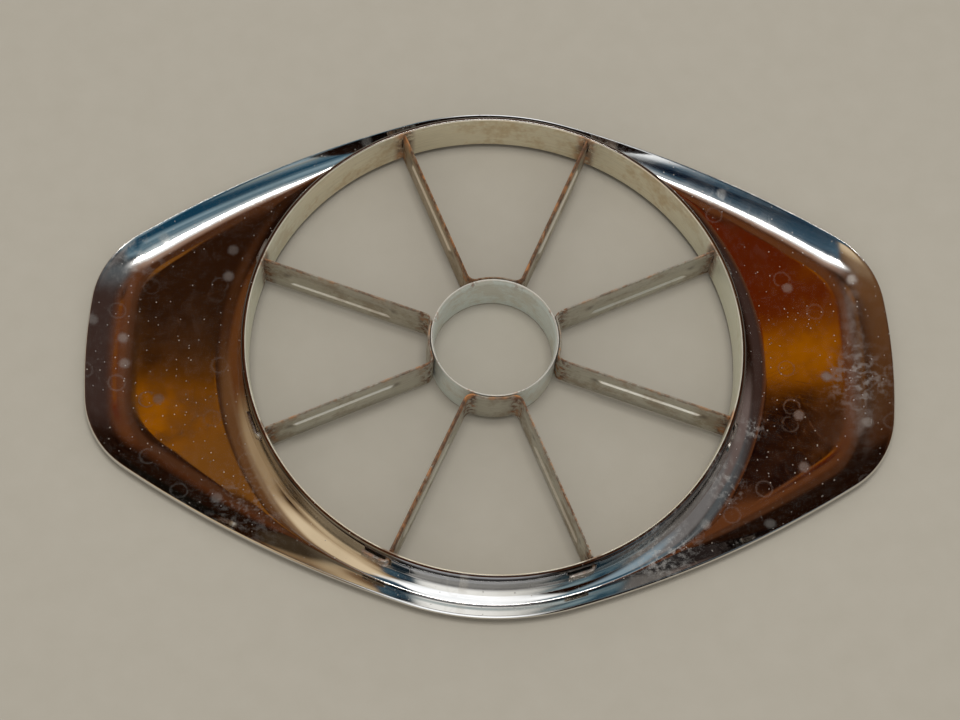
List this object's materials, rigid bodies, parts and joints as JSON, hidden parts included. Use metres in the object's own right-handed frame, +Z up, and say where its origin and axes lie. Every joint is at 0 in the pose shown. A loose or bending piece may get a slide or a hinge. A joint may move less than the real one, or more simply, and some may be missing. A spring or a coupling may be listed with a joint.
{
  "type": "apple slicer and corer",
  "caption": "Round hand-pressed slicer: blades run like spokes from a core ring to a band held in a chromed frame with a dished wing on each side",
  "frame": {"origin": "under the middle of the round opening, on the surface that the undersides of the wings' pans rest on", "axes": "+X along the two wings, +Y from the near side to the far side of the picture, +Z up towards the cutting edges, which face up as in the picture"},
  "size_m": [0.1684, 0.1144, 0.011],
  "materials": {
    "frame_chrome": "polished chrome with fine scratches and water marks",
    "band_steel": "dull steel with tan stains",
    "core_steel": "dull grey steel",
    "blade_steel": "dull steel with rust along the cutting edges and at the joints"
  },
  "bodies": {
    "root": {"frame_pressing": "frame_chrome", "cutting_band": "band_steel", "core_ring": "core_steel", "blade_strip_right": "blade_steel", "blade_strip_far": "blade_steel", "blade_strip_left": "blade_steel", "blade_strip_near": "blade_steel"}
  },
  "joints": []
}
